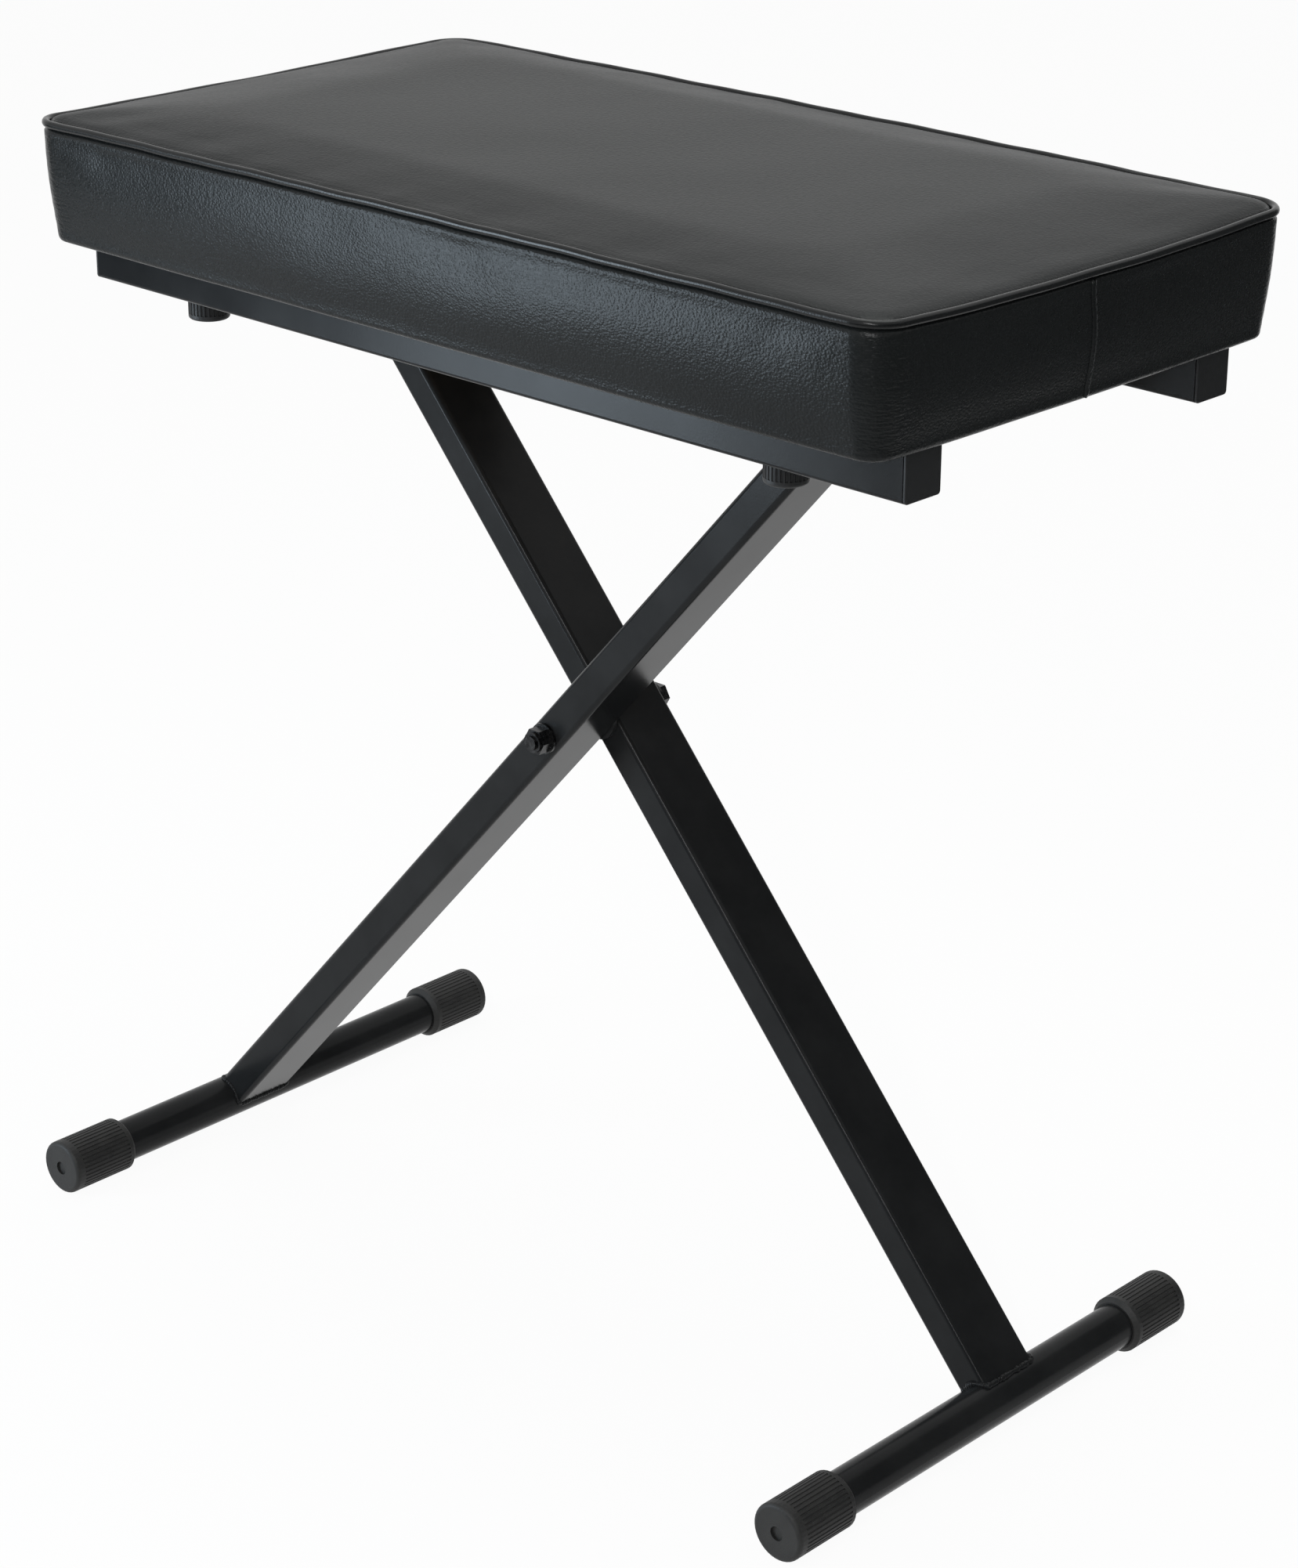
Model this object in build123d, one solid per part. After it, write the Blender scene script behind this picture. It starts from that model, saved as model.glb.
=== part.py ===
from build123d import *
import os
from math import cos, radians, sin, sqrt, tan

# Keyboard bench: a padded seat on two steel rails, carried by a crossed pair of legs that fold.
# Millimetres. The floor is z = 0, +Z is up, +X runs along the seat and -Y is the front.

# Clearances
running_gap = 0.05
fixed_gap = 0.05
slide_gap = 0.3
bolt_gap = 0.3

# Legs and their pivot
pivot_height = 331.0
leg_angle = 48.4
leg_width = 40.0
leg_depth = 20.0
leg_corner = 3.0
leg_wall = 1.5
leg_gap = 3.0
pivot_d = 8.0
hex_flats = 13.0
head_height = 5.3
nut_height = 6.5
nut_collar_d = 11.4
nut_collar_height = 1.7
bolt_tip = 1.5
washer_d = 17.0
washer_height = 1.6
spacer_d = 24.0
sleeve_d = 14.0

# Feet
foot_tube_d = 25.0
tube_wall = 1.5
rear_foot_length = 324.0
front_foot_length = 336.0
cap_flats = 32.0
cap_length = 45.0
cap_end = 6.0
cap_facets = 40
cap_groove_r = 0.55
cap_rim = 6.0
cap_lip = 5.0
cap_lip_taper = 2.4
cap_round = 2.5
cap_dimple_r = 4.0
cap_dimple_depth = 1.5

# Seat frame
seat_height = 576.0
seat_offset = 25.0
rail_size = 25.0
rail_wall = 1.5
rail_corner = 2.0
rail_overhang = 2.0
rail_inset = 13.0
plug_flange = 2.0
plug_depth = 20.0
plug_wall = 2.0
plug_groove = 0.6

# Tracks, blocks and hand screws under the seat
track_drop = 6.5
track_height = 3.0
track_width = 25.0
track_end = 18.0
track_inset = 35.0
block_inboard = 17.0
block_outboard = 21.0
block_width = 34.5
block_height = 24.0
block_round = 3.0
cross_tube_d = 19.0
bore_depth = 15.0
screw_offset = 9.5
screw_inset = 10.0
stud_d = 8.0
stud_tip = 0.4
clamp_nut_size = 16.0
clamp_nut_height = 5.0
knob_d = 22.5
knob_height = 10.0
knob_rim = 3.0
knob_round = 1.5
knob_ribs = 30
knob_groove_r = 0.8
knob_collar_d = 14.0
knob_collar = 0.5

# Board and its fixings
board_inset_x = 15.0
board_inset_y = 21.5
board_height = 15.0
board_corner = 22.0
rail_bolt_spacing = 360.0
rail_bolt_d = 6.0
rail_bolt_head_d = 12.0
rail_bolt_head = 3.5
bolt_access_d = 15.0
insert_d = 8.0
insert_flange_d = 19.0
insert_flange = 1.5

# Cushion and its piping
cushion_length = 594.0
cushion_width = 315.0
cushion_corner = 19.0
cushion_side = 64.0
crown_rise = 8.0
shoulder_run = 16.0
crown_run = 50.0
crown_flat = 100.0
end_bow = 3.0
front_bow = 1.5
under_round = 5.0
side_draw = 5.0
top_tuck = 2.0
piping_r = 2.2

# Derived places
cap_r = cap_flats / 2
rise = tan(radians(leg_angle))
track_top = seat_height - track_drop
track_bottom = track_top - track_height
hinge_height = track_bottom - block_height / 2
foot_run = (pivot_height - cap_r) / rise
top_run = (hinge_height - pivot_height) / rise
foot_arm = (pivot_height - cap_r) / sin(radians(leg_angle))
top_arm = (hinge_height - pivot_height) / sin(radians(leg_angle))
left_reach = max(foot_run + cap_r, cushion_length / 2 - seat_offset)
right_reach = max(foot_run + cap_r, cushion_length / 2 + seat_offset)
pivot_x = (left_reach - right_reach) / 2
seat_x = pivot_x + seat_offset
hinge_x = pivot_x - top_run
shoe_x = pivot_x + top_run
leg_y = (leg_gap + leg_width) / 2
leg_face = leg_gap / 2 + leg_width
board_length = cushion_length - 2 * board_inset_x
board_width = cushion_width - 2 * board_inset_y
rail_length = board_length + 2 * rail_overhang
rail_span = board_width - 2 * rail_inset
rail_y = (rail_span - rail_size) / 2
rail_inner = rail_span / 2 - rail_size
block_outer = rail_inner - slide_gap
block_inner = block_outer - block_width
bore_end = block_inner + bore_depth
cross_end = bore_end - slide_gap
screw_y = rail_inner - screw_inset
rail_tube = rail_length - 2 * plug_flange
rail_bore = rail_size - 2 * rail_wall
piping_height = seat_height + cushion_side

made = {}


def along_y(shape):
    return Rot(-90, 0, 0) * shape


def behind(shape):
    return mirror(shape, about=Plane.XZ)


def rod(radius, start, end):
    return Pos(0, start, 0) * along_y(extrude(Circle(radius), amount=end - start))


def post(radius, start, end):
    return Pos(0, 0, start) * extrude(Circle(radius), amount=end - start)


# Seat cushion: leatherette over foam, a box form with a crowned top and softly bowed sides.
def plan(inset, height):
    half_x = cushion_length / 2 - inset
    half_y = cushion_width / 2 - inset
    corner = cushion_corner - inset if inset < cushion_corner / 2 else cushion_corner / 2
    front_r = (half_x**2 + front_bow**2) / (2 * front_bow)
    end_r = (half_y**2 + end_bow**2) / (2 * end_bow)
    front_c = Vector(0, front_r - half_y)
    end_c = Vector(half_x - end_r, 0)
    reach_1 = front_r - corner
    reach_2 = end_r - corner
    apart = end_c - front_c
    span = apart.length
    ahead = (reach_1**2 - reach_2**2 + span**2) / (2 * span)
    aside = sqrt(reach_1**2 - ahead**2)
    unit = apart.normalized()
    centre = front_c + unit * ahead + Vector(-unit.Y, unit.X) * aside
    if centre.Y > 0:
        centre = front_c + unit * ahead - Vector(-unit.Y, unit.X) * aside
    front_end = centre + (centre - front_c).normalized() * corner
    side_end = centre + (centre - end_c).normalized() * corner
    middle = centre + ((front_end - centre) + (side_end - centre)).normalized() * corner

    def spot(point, sx, sy):
        return (seat_x + sx * point.X, sy * point.Y, height)

    return [
        ThreePointArc(spot(front_end, -1, 1), (seat_x, -half_y, height), spot(front_end, 1, 1)),
        ThreePointArc(spot(front_end, 1, 1), spot(middle, 1, 1), spot(side_end, 1, 1)),
        ThreePointArc(spot(side_end, 1, 1), (seat_x + half_x, 0, height), spot(side_end, 1, -1)),
        ThreePointArc(spot(side_end, 1, -1), spot(middle, 1, -1), spot(front_end, 1, -1)),
        ThreePointArc(spot(front_end, 1, -1), (seat_x, half_y, height), spot(front_end, -1, -1)),
        ThreePointArc(spot(front_end, -1, -1), spot(middle, -1, -1), spot(side_end, -1, -1)),
        ThreePointArc(spot(side_end, -1, -1), (seat_x - half_x, 0, height), spot(side_end, -1, 1)),
        ThreePointArc(spot(side_end, -1, 1), spot(middle, -1, 1), spot(front_end, -1, 1)),
    ]


def slice_at(inset, height):
    return Face(Wire(plan(inset, height)))


piping_inset = piping_r
neck_inset = piping_inset + piping_r + fixed_gap
neck_bottom = piping_height - piping_r - fixed_gap
neck_top = piping_height + piping_r / 2
side_form = loft(
    [
        slice_at(top_tuck + side_draw + under_round, seat_height),
        slice_at(top_tuck + side_draw * 0.9 + under_round * 0.2, seat_height + cushion_side * 0.1),
        slice_at(top_tuck + side_draw * 0.6, seat_height + cushion_side * 0.3),
        slice_at(top_tuck + side_draw * 0.3, seat_height + cushion_side * 0.55),
        slice_at(top_tuck + side_draw * 0.1, seat_height + cushion_side * 0.8),
        slice_at(top_tuck, neck_bottom),
    ]
)
neck_form = extrude(slice_at(neck_inset, neck_bottom), amount=neck_top - neck_bottom)
crown_top = piping_height + crown_rise
crown_form = loft(
    [
        slice_at(neck_inset, neck_top),
        slice_at(neck_inset + shoulder_run, neck_top + (crown_top - neck_top) * 0.42),
        slice_at(neck_inset + crown_run, neck_top + (crown_top - neck_top) * 0.8),
        slice_at(neck_inset + crown_flat, crown_top),
    ]
)
board_room = Pos(seat_x, 0, seat_height) * extrude(
    RectangleRounded(board_length + 2 * fixed_gap, board_width + 2 * fixed_gap, board_corner),
    amount=board_height + fixed_gap,
)
made["seat_cushion"] = side_form + neck_form + crown_form - board_room

# Piping cord round the top edge, sewn into the seam between the top and the sides.
cord_path = Wire(plan(piping_inset, piping_height))
cord_start = Plane(origin=cord_path @ 0, z_dir=cord_path % 0)
made["seat_piping"] = sweep(cord_start * Circle(piping_r), path=cord_path)

# Plywood board inside the cushion, with flanged thread inserts let in flush from above.
bolt_spots = []
for side_x in (-1, 1):
    for side_y in (-1, 1):
        bolt_spots.append(Pos(seat_x + side_x * rail_bolt_spacing / 2, side_y * rail_y, 0))
board_top = seat_height + board_height
board = Pos(seat_x, 0, seat_height) * extrude(
    RectangleRounded(board_length, board_width, board_corner), amount=board_height
)
inserts = []
bolts = []
for spot in bolt_spots:
    board -= spot * post(insert_d / 2 + fixed_gap, seat_height, board_top)
    board -= spot * post(insert_flange_d / 2 + fixed_gap, board_top - insert_flange, board_top)
    insert = post(insert_d / 2, seat_height + bolt_gap, board_top)
    insert += post(insert_flange_d / 2, board_top - insert_flange, board_top)
    insert -= post(rail_bolt_d / 2 + fixed_gap, seat_height, board_top)
    inserts.append(spot * insert)
    bolt_seat = seat_height - rail_wall
    bolt = post(rail_bolt_d / 2, bolt_seat, board_top - insert_flange)
    head = post(rail_bolt_head_d / 2, bolt_seat - rail_bolt_head, bolt_seat)
    head = fillet(head.edges().sort_by(Axis.Z)[0], rail_bolt_head / 3)
    bolts.append(spot * (bolt + head))
made["seat_board"] = board
made["board_inserts"] = Compound(children=inserts)
made["rail_bolts"] = Compound(children=bolts)

# Two square steel rails under the board, each closed by a plastic plug at both ends.
# The bolt heads go in through wide holes in the lower wall and clamp the upper wall to the board.
rail_plane = Plane(origin=(seat_x - rail_tube / 2, -rail_y, seat_height - rail_size / 2), z_dir=(1, 0, 0))
rail = extrude(rail_plane * RectangleRounded(rail_size, rail_size, rail_corner), amount=rail_tube)
rail -= extrude(rail_plane * Rectangle(rail_bore, rail_bore), amount=rail_tube)
for spot in bolt_spots[0::2]:
    rail -= spot * post(rail_bolt_d / 2 + bolt_gap, seat_height - rail_size, seat_height)
    rail -= spot * post(bolt_access_d / 2, seat_height - rail_size, seat_height - rail_size / 2)
made["front_rail"] = rail
made["rear_rail"] = behind(rail)

plug_plane = Plane(origin=(seat_x + rail_tube / 2, -rail_y, seat_height - rail_size / 2), z_dir=(1, 0, 0))
flange = extrude(plug_plane * RectangleRounded(rail_size, rail_size, rail_corner), amount=plug_flange)
flange = chamfer(flange.faces().sort_by(Axis.X)[0].edges(), plug_groove)
flange = fillet(flange.faces().sort_by(Axis.X)[-1].edges(), plug_groove)
plug_size = rail_bore - 2 * fixed_gap
plug_hollow = plug_size - 2 * plug_wall
plug_body = extrude(plug_plane * Rectangle(plug_size, plug_size), amount=-plug_depth)
plug_body -= extrude(plug_plane * Rectangle(plug_hollow, plug_hollow), amount=-plug_depth)
plug = flange + plug_body
plug_left = mirror(plug, about=Plane(origin=(seat_x, 0, 0), z_dir=(1, 0, 0)))
made["plug_front_right"] = plug
made["plug_rear_right"] = behind(plug)
made["plug_front_left"] = plug_left
made["plug_rear_left"] = behind(plug_left)

# Steel track strips welded to the rails' inner faces, a hole at the hinge and a slot for the shoe.
hinge_screw_x = hinge_x - screw_offset
shoe_screw_x = shoe_x + screw_offset
slot_r = stud_d / 2 + bolt_gap
track_left = min(seat_x - rail_tube / 2 + track_inset, hinge_screw_x - track_end)
track_right = max(seat_x + rail_tube / 2 - track_inset, shoe_screw_x + track_end)
track_middle = rail_inner - track_width / 2
track_sketch = Rectangle(track_right - track_left, track_width)
track = Pos((track_left + track_right) / 2, -track_middle, track_bottom) * extrude(track_sketch, amount=track_height)
track -= Pos(hinge_screw_x, -screw_y, 0) * post(slot_r, track_bottom, track_top)
track -= Pos(shoe_screw_x, -screw_y, 0) * post(slot_r, track_bottom, track_top)
slot_run = track_right - shoe_screw_x
track -= Pos(shoe_screw_x + slot_run / 2, -screw_y, track_bottom) * extrude(
    Rectangle(slot_run, 2 * slot_r), amount=track_height
)
made["front_track"] = track
made["rear_track"] = behind(track)


# Nylon blocks: the hinge blocks stay under the left end, the slide shoes run along the tracks.
def block(axis_x, outward, top_gap):
    length = block_inboard + block_outboard
    middle = axis_x + outward * (block_outboard - block_inboard) / 2
    height = block_height - top_gap
    bottom = hinge_height - block_height / 2
    body = Pos(middle, -(block_outer + block_inner) / 2, bottom) * extrude(
        RectangleRounded(length, block_width, block_round), amount=height
    )
    bore_r = cross_tube_d / 2 + running_gap
    body -= Pos(axis_x, 0, hinge_height) * rod(bore_r, -bore_end, -block_inner)
    hole_r = stud_d / 2 + bolt_gap
    body -= Pos(axis_x + outward * screw_offset, -screw_y, bottom) * post(hole_r, 0, height)
    return body


made["hinge_block_front"] = block(hinge_x, -1, 0)
made["hinge_block_rear"] = behind(made["hinge_block_front"])
made["slide_shoe_front"] = block(shoe_x, 1, slide_gap)
made["slide_shoe_rear"] = behind(made["slide_shoe_front"])


# Square clamp nuts lying on top of the tracks, one for each hand screw.
def clamp_nut(screw_x, lift):
    body = Pos(screw_x, -screw_y, track_top + lift) * extrude(
        RectangleRounded(clamp_nut_size, clamp_nut_size, 1), amount=clamp_nut_height
    )
    return body - Pos(screw_x, -screw_y, track_top) * post(stud_d / 2 + running_gap, 0, track_drop)


made["hinge_nut_front"] = clamp_nut(hinge_screw_x, 0)
made["hinge_nut_rear"] = behind(made["hinge_nut_front"])
made["shoe_nut_front"] = clamp_nut(shoe_screw_x, slide_gap)
made["shoe_nut_rear"] = behind(made["shoe_nut_front"])

# Hand screws: a ribbed plastic knob moulded on a steel stud, turned from below, four of them.
block_bottom = hinge_height - block_height / 2
collar_top = block_bottom - slide_gap
knob_top = collar_top - knob_collar
knob_bottom = knob_top - knob_height
knob_r = knob_d / 2
knob_section = Circle(knob_r) - PolarLocations(knob_r + knob_groove_r / 4, knob_ribs) * Circle(knob_groove_r)
knob_grip = Pos(0, 0, knob_bottom + knob_rim) * extrude(knob_section, amount=knob_height - knob_rim)
knob_base = post(knob_r, knob_bottom, knob_bottom + knob_rim)
knob_base = fillet(knob_base.edges().sort_by(Axis.Z)[0], knob_round)
stud_end = track_top + clamp_nut_height + stud_tip
stud_start = knob_bottom + knob_rim
knob = knob_grip + knob_base + post(knob_collar_d / 2, knob_top, collar_top)
knob -= post(stud_d / 2 + fixed_gap, stud_start, collar_top)
stud = post(stud_d / 2, stud_start, stud_end)
screw_spots = {
    "hinge_front": Pos(hinge_screw_x, -screw_y, 0),
    "hinge_rear": Pos(hinge_screw_x, screw_y, 0),
    "shoe_front": Pos(shoe_screw_x, -screw_y, 0),
    "shoe_rear": Pos(shoe_screw_x, screw_y, 0),
}
for place, spot in screw_spots.items():
    made[f"knob_{place}"] = spot * knob
    made[f"stud_{place}"] = spot * stud

# Legs: rectangular steel tube, coped round the foot tube below and the cross tube above.
leg_sketch = RectangleRounded(leg_depth, leg_width, leg_corner)
leg_hollow = RectangleRounded(leg_depth - 2 * leg_wall, leg_width - 2 * leg_wall, leg_corner - leg_wall)
leg = Pos(0, 0, -foot_arm) * extrude(leg_sketch, amount=foot_arm + top_arm)
leg -= Pos(0, 0, -foot_arm) * extrude(leg_hollow, amount=foot_arm + top_arm)
leg -= Pos(0, 0, -foot_arm) * rod(foot_tube_d / 2 + fixed_gap, -leg_width, leg_width)
leg -= Pos(0, 0, top_arm) * rod(cross_tube_d / 2 + fixed_gap, -leg_width, leg_width)
leg -= rod(sleeve_d / 2 + fixed_gap, -leg_width, leg_width)
tilt = 90 - leg_angle
made["rear_leg"] = Pos(pivot_x, leg_y, pivot_height) * Rot(0, -tilt, 0) * leg
made["front_leg"] = Pos(pivot_x, -leg_y, pivot_height) * Rot(0, tilt, 0) * leg

# Round cross tubes welded across the leg tops, their ends turning in the blocks.
cross_tube = rod(cross_tube_d / 2, -cross_end, cross_end)
cross_tube -= rod(cross_tube_d / 2 - tube_wall, -cross_end, cross_end)
made["rear_cross_tube"] = Pos(hinge_x, 0, hinge_height) * cross_tube
made["front_cross_tube"] = Pos(shoe_x, 0, hinge_height) * cross_tube

# Round foot tubes welded across the leg bottoms.
def foot_tube(length):
    end = length / 2 - cap_end
    return rod(foot_tube_d / 2, -end, end) - rod(foot_tube_d / 2 - tube_wall, -end, end)


rear_foot_x = pivot_x + foot_run
front_foot_x = pivot_x - foot_run
made["rear_foot_tube"] = Pos(rear_foot_x, 0, cap_r) * foot_tube(rear_foot_length)
made["front_foot_tube"] = Pos(front_foot_x, 0, cap_r) * foot_tube(front_foot_length)

# Rubber foot caps: many narrow facets with grooves between them, so one facet lies on the floor.
half_facet = 180 / cap_facets
corner_r = cap_r / cos(radians(half_facet))
cap_outline = RegularPolygon(cap_r, cap_facets, major_radius=False, rotation=half_facet)
cap_grooves = Sketch() + PolarLocations(corner_r, cap_facets, start_angle=half_facet) * Circle(cap_groove_r)
cap = extrude(cap_outline, amount=cap_length)
cap = fillet(cap.faces().sort_by(Axis.Z)[-1].edges(), cap_round)
cap = chamfer(cap.faces().sort_by(Axis.Z)[0].edges(), cap_lip_taper)
cap_ribbed = cap_length - cap_rim - cap_lip
cap -= Pos(0, 0, cap_lip) * extrude(cap_grooves, amount=cap_ribbed)
cap -= post(foot_tube_d / 2 + fixed_gap, 0, cap_length - cap_end)
cap -= post(cap_dimple_r, cap_length - cap_dimple_depth, cap_length)
cap_lying = Pos(0, -cap_length, cap_r) * along_y(cap)
rear_cap = Pos(rear_foot_x, rear_foot_length / 2, 0) * cap_lying
front_cap = Pos(front_foot_x, front_foot_length / 2, 0) * cap_lying
made["cap_rear_foot_rear"] = rear_cap
made["cap_rear_foot_front"] = behind(rear_cap)
made["cap_front_foot_rear"] = front_cap
made["cap_front_foot_front"] = behind(front_cap)

# Pivot: a hex bolt from the rear through a steel sleeve in each leg, closed by a locking nut in front.
at_pivot = Pos(pivot_x, 0, pivot_height)
sleeve = rod(sleeve_d / 2, -leg_width / 2, leg_width / 2)
sleeve -= rod(pivot_d / 2 + running_gap, -leg_width / 2, leg_width / 2)
made["rear_sleeve"] = at_pivot * Pos(0, leg_y, 0) * sleeve
made["front_sleeve"] = at_pivot * Pos(0, -leg_y, 0) * sleeve
washer = rod(washer_d / 2, 0, washer_height) - rod(pivot_d / 2 + running_gap, 0, washer_height)
rear_washer_end = leg_face + washer_height
front_washer_end = leg_face + slide_gap + washer_height
rear_washer = Pos(0, leg_face, 0) * washer
front_washer = Pos(0, -front_washer_end, 0) * washer
made["rear_washer"] = at_pivot * rear_washer
made["front_washer"] = at_pivot * front_washer
spacer_height = leg_gap - slide_gap
spacer = rod(spacer_d / 2, 0, spacer_height) - rod(pivot_d / 2 + running_gap, 0, spacer_height)
made["leg_spacer"] = at_pivot * Pos(0, leg_gap / 2 - spacer_height, 0) * spacer
hexagon = RegularPolygon(hex_flats / 2, 6, major_radius=False)
head = Pos(0, rear_washer_end, 0) * along_y(extrude(hexagon, amount=head_height))
nut_end = front_washer_end + nut_height + nut_collar_height
bolt_shank = rod(pivot_d / 2, -nut_end - bolt_tip, rear_washer_end)
made["pivot_bolt"] = at_pivot * (bolt_shank + head)
nut = Pos(0, -front_washer_end - nut_height, 0) * along_y(extrude(hexagon, amount=nut_height))
nut += rod(nut_collar_d / 2, -nut_end, -front_washer_end - nut_height)
nut -= rod(pivot_d / 2 + fixed_gap, -nut_end, 0)
made["pivot_nut"] = at_pivot * nut

os.makedirs("parts", exist_ok=True)
for name, shape in made.items():
    shape.label = name
    export_step(shape, f"parts/{name}.step")
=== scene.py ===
import math

import bmesh
import bpy
import numpy as np
from mathutils import Matrix, Vector
from mathutils.bvhtree import BVHTree
from mathutils.kdtree import KDTree
from mathutils.noise import noise


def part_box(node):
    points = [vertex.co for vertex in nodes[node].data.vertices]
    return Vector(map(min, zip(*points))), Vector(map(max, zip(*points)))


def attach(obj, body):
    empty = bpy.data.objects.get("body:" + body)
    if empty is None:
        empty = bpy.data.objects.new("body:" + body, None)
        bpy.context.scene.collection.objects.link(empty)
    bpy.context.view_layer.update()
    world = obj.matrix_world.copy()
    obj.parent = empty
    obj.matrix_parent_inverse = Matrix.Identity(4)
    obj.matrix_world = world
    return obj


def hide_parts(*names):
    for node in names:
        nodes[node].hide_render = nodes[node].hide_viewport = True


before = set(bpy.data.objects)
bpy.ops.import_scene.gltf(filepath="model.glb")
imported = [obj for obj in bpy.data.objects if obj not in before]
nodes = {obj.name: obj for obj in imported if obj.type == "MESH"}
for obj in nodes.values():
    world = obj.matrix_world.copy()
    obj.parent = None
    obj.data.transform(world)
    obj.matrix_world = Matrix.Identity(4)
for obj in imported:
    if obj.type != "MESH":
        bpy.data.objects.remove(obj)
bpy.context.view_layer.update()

# Painted steel frame: two square rails, two slotted tracks, two crossed legs and their round tubes.
# Thin-walled steel tube, cut, drilled and welded, then powder coated satin black.
# The coat has a faint orange peel and is a little duller in patches.


def new_finish(name, colour, roughness, specular=0.5):
    made = bpy.data.materials.new(name)
    made.use_nodes = True
    shader = made.node_tree.nodes["Principled BSDF"]
    shader.inputs["Base Color"].default_value = (*colour, 1)
    shader.inputs["Roughness"].default_value = roughness
    shader.inputs["Specular IOR Level"].default_value = specular
    return made, made.node_tree, shader


def object_pattern(tree, kind, scale, detail=2.0, stretch=(1, 1, 1)):
    where = tree.nodes.new("ShaderNodeTexCoord")
    place = tree.nodes.new("ShaderNodeMapping")
    place.inputs["Scale"].default_value = stretch
    pattern = tree.nodes.new(kind)
    pattern.inputs["Scale"].default_value = scale
    if "Detail" in pattern.inputs:
        pattern.inputs["Detail"].default_value = detail
    tree.links.new(where.outputs["Object"], place.inputs["Vector"])
    tree.links.new(place.outputs["Vector"], pattern.inputs["Vector"])
    return pattern


def spread(tree, source, low, high, end=1.0):
    remap = tree.nodes.new("ShaderNodeMapRange")
    remap.inputs["From Min"].default_value = 0.0
    remap.inputs["From Max"].default_value = end
    remap.inputs["To Min"].default_value = low
    remap.inputs["To Max"].default_value = high
    tree.links.new(source, remap.inputs["Value"])
    return remap.outputs["Result"]


def patchy_gloss(tree, shader, pattern, low, high):
    tree.links.new(spread(tree, pattern.outputs["Fac"], low, high), shader.inputs["Roughness"])


def patchy_colour(tree, shader, pattern, dark, light, start=0.35, end=0.7):
    ramp = tree.nodes.new("ShaderNodeValToRGB")
    ramp.color_ramp.elements[0].color = (*dark, 1)
    ramp.color_ramp.elements[1].color = (*light, 1)
    ramp.color_ramp.elements[0].position = start
    ramp.color_ramp.elements[1].position = end
    tree.links.new(pattern.outputs["Fac"], ramp.inputs["Fac"])
    tree.links.new(ramp.outputs["Color"], shader.inputs["Base Color"])


def relief(tree, shader, height, strength, depth, under=None):
    bump = tree.nodes.new("ShaderNodeBump")
    bump.inputs["Strength"].default_value = strength
    bump.inputs["Distance"].default_value = depth
    tree.links.new(height, bump.inputs["Height"])
    if under is not None:
        tree.links.new(under, bump.inputs["Normal"])
    tree.links.new(bump.outputs["Normal"], shader.inputs["Normal"])
    return bump.outputs["Normal"]


def dress(finish, *names):
    for name in names:
        nodes[name].data.materials.clear()
        nodes[name].data.materials.append(finish)


powder_coat, tree, shader = new_finish("powder_coat", (0.0135, 0.014, 0.0145), roughness=0.22, specular=0.09)
patches = object_pattern(tree, "ShaderNodeTexNoise", scale=30.0, detail=4.0)
peel = object_pattern(tree, "ShaderNodeTexNoise", scale=900.0, detail=1.5)
patchy_colour(tree, shader, patches, dark=(0.0112, 0.0117, 0.0122), light=(0.016, 0.0165, 0.017))
patchy_gloss(tree, shader, patches, low=0.17, high=0.26)
relief(tree, shader, peel.outputs["Fac"], strength=0.05, depth=0.0004)
dress(powder_coat, "front_rail", "rear_rail", "front_track", "rear_track", "front_leg", "rear_leg")
dress(powder_coat, "front_cross_tube", "rear_cross_tube", "front_foot_tube", "rear_foot_tube")

# Weld beads where each leg meets its foot tube and its cross tube, finer on the front leg.
# Electrode weld in overlapping ripples, left as laid, under the same powder coat.
# Each bead runs round the leg's section, along the line where it cuts the round tube.
leg_half_depth, leg_half_width, leg_corner = 0.010, 0.020, 0.003
leg_corner_points, leg_depth_parts, leg_width_parts = 6, 10, 20
rear_bead_r, front_bead_r = 0.0018, 0.0013
bead_lift, bead_pitch = 0.35, 0.78
ripple_least, ripple_most, ripple_seed = 0.65, 1.3, 11


def add_piece(name, mesh):
    piece = bpy.data.objects.new(name, mesh)
    bpy.context.collection.objects.link(piece)
    return piece


def settle(piece):
    bpy.context.view_layer.update()
    graph = bpy.context.evaluated_depsgraph_get()
    made = bpy.data.meshes.new_from_object(piece.evaluated_get(graph), depsgraph=graph)
    piece.modifiers.clear()
    piece.data = made


def rounded_ring(half_a, half_b, corner, per_corner, per_a, per_b):
    ring = []
    for quarter in range(4):
        middle = math.pi / 4 + quarter * math.pi / 2
        centre_a = math.copysign(half_a - corner, math.cos(middle))
        centre_b = math.copysign(half_b - corner, math.sin(middle))
        for step in range(per_corner):
            angle = (quarter + step / (per_corner - 1)) * math.pi / 2
            ring.append((centre_a + corner * math.cos(angle), centre_b + corner * math.sin(angle)))
        along_a = quarter % 2 == 0
        parts = per_a if along_a else per_b
        run = 2 * (half_a - corner) if along_a else 2 * (half_b - corner)
        start = ring[-1]
        way = ((-1, 0), (0, -1), (1, 0), (0, 1))[quarter]
        for part in range(1, parts):
            ring.append((start[0] + way[0] * run * part / parts, start[1] + way[1] * run * part / parts))
    return np.array(ring)


def path_mesh(name, paths, closed=True):
    spots, links = [], []
    for path in paths:
        first, count = len(spots), len(path)
        spots += [tuple(point) for point in path]
        links += [(first + k, first + (k + 1) % count) for k in range(count if closed else count - 1)]
    mesh = bpy.data.meshes.new(name)
    mesh.from_pydata(spots, links, [])
    return mesh


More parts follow.
